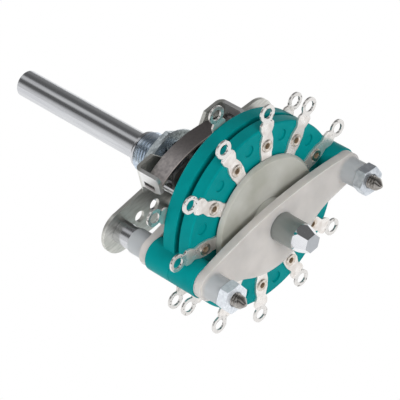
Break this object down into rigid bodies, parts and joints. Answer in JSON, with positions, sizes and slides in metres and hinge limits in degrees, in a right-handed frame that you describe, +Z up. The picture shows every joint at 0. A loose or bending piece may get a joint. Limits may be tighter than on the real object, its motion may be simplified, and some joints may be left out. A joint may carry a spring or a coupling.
{
  "type": "rotary wafer switch",
  "caption": "Panel mounted rotary wafer switch: long shaft in a threaded bush, detent with leaf spring, two teal wafers with solder tags between moulded straps.",
  "frame": {"origin": "on the shaft's axis, in the plane of the index plate's front face, which seats on a panel's back", "axes": "+Y along the shaft from its knob end to its rear end, +X through the left tie rod, +Z up"},
  "size_m": [0.0528, 0.0907, 0.0534],
  "materials": {
    "turned_steel": "bright turned and plated steel",
    "zinc_plated_bush": "zinc plate, slightly blue",
    "zinc_plated_nut": "zinc plate, slightly blue, mottled on its faces",
    "zinc_plated_rod": "zinc plate",
    "plated_sheet": "dull plated sheet steel",
    "sintered_steel": "oiled grey steel",
    "spring_steel": "dark brown grey spring strip with a bright cut edge",
    "natural_nylon": "natural, slightly translucent moulding",
    "rotor_nylon": "natural moulding, greyer than the straps",
    "teal_plastic": "satin teal moulding",
    "silvered_contact": "silver plated strip, softly worn",
    "eyelet_brass": "tinned brass, brown in the bore"
  },
  "bodies": {
    "switch_frame": {"bush": "zinc_plated_bush", "panel_nut": "zinc_plated_nut", "lock_washer": "zinc_plated_nut", "index_plate": "plated_sheet", "stop_pins": "turned_steel", "detent_roller": "turned_steel", "leaf_spring": "spring_steel", "cage_plate": "plated_sheet", "cage_pillars": "turned_steel", "left_tie_rod": "zinc_plated_rod", "right_tie_rod": "zinc_plated_rod", "left_spacer": "zinc_plated_rod", "right_spacer": "zinc_plated_rod", "tie_rod_nuts": "zinc_plated_nut", "front_strap": "natural_nylon", "rear_strap": "natural_nylon", "front_wafer": "teal_plastic", "rear_wafer": "teal_plastic", "front_eyelets": "eyelet_brass", "rear_eyelets": "eyelet_brass", "common_tag_1": "silvered_contact", "common_tag_2": "silvered_contact", "common_tag_3": "silvered_contact", "common_tag_4": "silvered_contact", "common_tag_5": "silvered_contact", "common_tag_6": "silvered_contact", "throw_tag_01": "silvered_contact", "throw_tag_02": "silvered_contact", "throw_tag_03": "silvered_contact", "throw_tag_04": "silvered_contact", "throw_tag_05": "silvered_contact", "throw_tag_06": "silvered_contact", "throw_tag_07": "silvered_contact", "throw_tag_08": "silvered_contact", "throw_tag_09": "silvered_contact", "throw_tag_10": "silvered_contact", "throw_tag_11": "silvered_contact", "throw_tag_12": "silvered_contact"},
    "turning_shaft": {"shaft": "turned_steel", "retaining_ring": "turned_steel", "stop_arm": "plated_sheet", "star_wheel": "sintered_steel", "front_rotor": "rotor_nylon", "rear_rotor": "rotor_nylon", "contact_blades": "silvered_contact"}
  },
  "joints": [
    {"name": "shaft_turn", "type": "hinge", "parent": "switch_frame", "child": "turning_shaft", "pos_m": [0, 0, 0], "axis": [0, 1, 0], "range_deg": [0, 30]}
  ]
}
